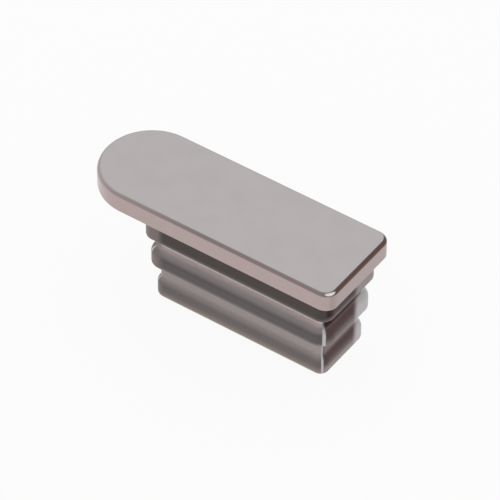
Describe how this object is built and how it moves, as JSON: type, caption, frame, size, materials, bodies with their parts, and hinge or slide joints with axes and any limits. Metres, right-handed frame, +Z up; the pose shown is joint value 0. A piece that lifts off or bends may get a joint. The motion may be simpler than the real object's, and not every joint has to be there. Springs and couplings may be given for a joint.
{
  "type": "profile end cap",
  "caption": "Flat cover plate, half-round at an end and square at the other, on a hollow ribbed plug that presses into a profile's open end.",
  "frame": {"origin": "under the middle of the cover plate, level with the lower rim of the plug", "axes": "+Z up, from the plug's rim to the top of the plate, out of the profile; +X along the plate, from the half-round end to the square end; +Y across the plate"},
  "size_m": [0.045, 0.016, 0.02],
  "materials": {
    "plated_grey": "moulded plastic with a satin grey metal finish"
  },
  "bodies": {
    "root": {"end_cap": "plated_grey"}
  },
  "joints": []
}
